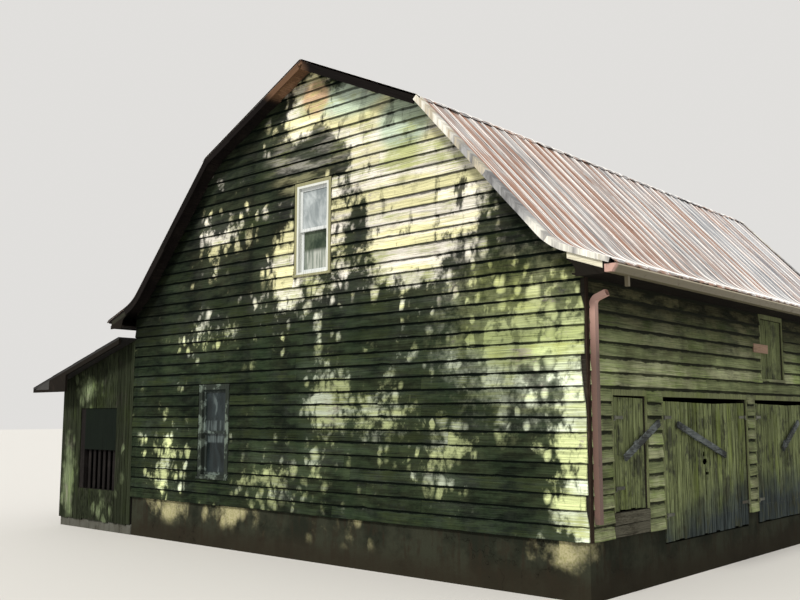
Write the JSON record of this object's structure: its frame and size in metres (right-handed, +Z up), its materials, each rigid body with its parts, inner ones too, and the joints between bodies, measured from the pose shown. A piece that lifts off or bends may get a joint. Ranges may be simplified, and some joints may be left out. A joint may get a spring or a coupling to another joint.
{
  "type": "gambrel barn with lean-to",
  "caption": "Weathered gambrel barn with flared eaves, a rusty ribbed metal roof, hinged side doors, gable windows and a board-and-batten lean-to.",
  "frame": {"origin": "middle of the whole building's footprint with its eaves, at the underside of the foundation", "axes": "+X across the gable towards the side with the doors, +Y from the front gable to the back, +Z up"},
  "size_m": [14.57, 12.6, 8.3955],
  "materials": {
    "gable_clapboards": "peeled pale paint with dark green algae",
    "side_clapboards": "weathered olive green paint with algae",
    "lean_to_boards": "dark green boards and battens",
    "door_boards": "streaked olive boards, blue-grey at the foot",
    "bare_timber": "old unpainted timber",
    "dark_trim": "dark reddish-brown paint, worn",
    "green_trim": "weathered green trim paint",
    "white_paint": "flaking white paint",
    "weathered_bars": "silvered blue-grey wood",
    "dark_panel": "dark matt panel",
    "roof_metal": "galvanised ribbed sheets with rust and purple-grey streaks",
    "lean_to_roofing": "dark weathered sheets",
    "gutter_metal": "tan and pinkish-beige coated metal",
    "window_glass": "dusty pale glass",
    "hinge_iron": "rusty wrought iron",
    "foundation_stucco": "pale yellow-grey stucco, stained",
    "grey_blocks": "grey concrete blocks"
  },
  "bodies": {
    "barn": {"foundation_front": "foundation_stucco", "foundation_right": "foundation_stucco", "foundation_back": "foundation_stucco", "foundation_left": "foundation_stucco", "lean_to_foundation": "grey_blocks", "front_gable_wall": "gable_clapboards", "back_gable_wall": "gable_clapboards", "left_wall": "side_clapboards", "right_wall_front": "side_clapboards", "right_wall_under_door": "side_clapboards", "right_wall_piers": "side_clapboards", "right_wall_back": "side_clapboards", "right_wall_upper": "side_clapboards", "corner_boards": "dark_trim", "opening_casings": "green_trim", "loft_shutter": "door_boards", "loft_floor": "bare_timber", "loft_joists": "bare_timber", "loft_girder": "bare_timber", "loft_posts": "bare_timber", "gambrel_frames": "bare_timber", "roof_upper_left": "roof_metal", "roof_upper_right": "roof_metal", "roof_lower_left": "roof_metal", "roof_lower_right": "roof_metal", "eave_flare_left": "roof_metal", "eave_flare_right": "roof_metal", "ridge_cap": "roof_metal", "eave_soffits": "dark_trim", "eave_boards": "dark_trim", "flare_boards": "white_paint", "gutter": "gutter_metal", "downspout": "gutter_metal", "window_frames": "white_paint", "window_sashes": "white_paint", "window_glass": "window_glass", "lean_to_front_wall": "lean_to_boards", "lean_to_left_wall": "lean_to_boards", "lean_to_back_wall": "lean_to_boards", "lean_to_roof": "lean_to_roofing", "lean_to_rafters": "dark_trim", "lean_to_panel": "dark_panel", "lean_to_slats": "bare_timber", "hinge_pintles": "hinge_iron"},
    "small_door": {"small_door_leaf": "door_boards", "small_door_hinges": "hinge_iron", "small_door_bar": "weathered_bars"},
    "door_1_left": {"door_1_left_leaf": "door_boards", "door_1_left_hinges": "hinge_iron", "door_1_bar": "weathered_bars"},
    "door_1_right": {"door_1_right_leaf": "door_boards", "door_1_right_hinges": "hinge_iron"},
    "door_2_left": {"door_2_left_leaf": "door_boards", "door_2_left_hinges": "hinge_iron", "door_2_bar": "weathered_bars"},
    "door_2_right": {"door_2_right_leaf": "door_boards", "door_2_right_hinges": "hinge_iron"}
  },
  "joints": [
    {"name": "small_door_swing", "type": "hinge", "parent": "barn", "child": "small_door", "pos_m": [6.669, -5.217, 1.6], "axis": [0, 0, -1], "range_deg": [0, 90]},
    {"name": "door_1_left_swing", "type": "hinge", "parent": "barn", "child": "door_1_left", "pos_m": [6.669, -3.757, 1.6], "axis": [0, 0, -1], "range_deg": [0, 90]},
    {"name": "door_1_right_swing", "type": "hinge", "parent": "barn", "child": "door_1_right", "pos_m": [6.669, -0.763, 1.6], "axis": [0, 0, 1], "range_deg": [0, 90]},
    {"name": "door_2_left_swing", "type": "hinge", "parent": "barn", "child": "door_2_left", "pos_m": [6.669, -0.277, 1.6], "axis": [0, 0, -1], "range_deg": [0, 90]},
    {"name": "door_2_right_swing", "type": "hinge", "parent": "barn", "child": "door_2_right", "pos_m": [6.669, 2.677, 1.6], "axis": [0, 0, 1], "range_deg": [0, 90]}
  ],
  "couplings": [
    {"joint": "door_1_right_swing", "follows": "door_1_left_swing", "ratio": 1},
    {"joint": "door_2_right_swing", "follows": "door_2_left_swing", "ratio": 1}
  ]
}
